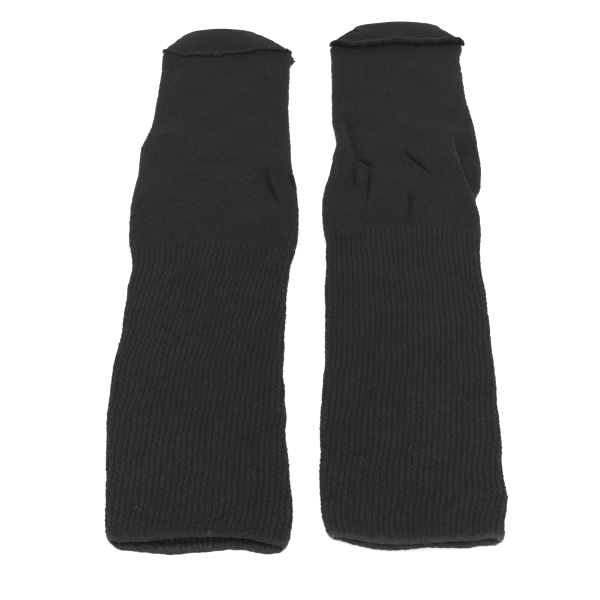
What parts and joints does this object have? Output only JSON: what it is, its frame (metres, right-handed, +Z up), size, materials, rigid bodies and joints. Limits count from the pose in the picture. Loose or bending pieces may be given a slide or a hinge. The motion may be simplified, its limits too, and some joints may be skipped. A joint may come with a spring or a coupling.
{
  "type": "pair of diabetic socks",
  "caption": "Pair of soft ribbed crew socks laid flat side by side, with loose open cuffs, plain-knit heel pouches and feet, and raised overlocked toe seams.",
  "frame": {"origin": "on the surface the socks lie on, under the middle of the pair", "axes": "+Y from the cuffs to the toes, +X to the right-hand sock seen from the cuffs, +Z up"},
  "size_m": [0.243, 0.435, 0.0122],
  "materials": {
    "knit": "matte charcoal cotton knit, ribbed on the leg and plain on the foot",
    "overlock_thread": "matte overlocked thread, slightly lighter than the knit"
  },
  "bodies": {
    "root": {"sock_left": "knit", "sock_right": "knit", "toe_seam_left": "overlock_thread", "toe_seam_right": "overlock_thread"}
  },
  "joints": []
}
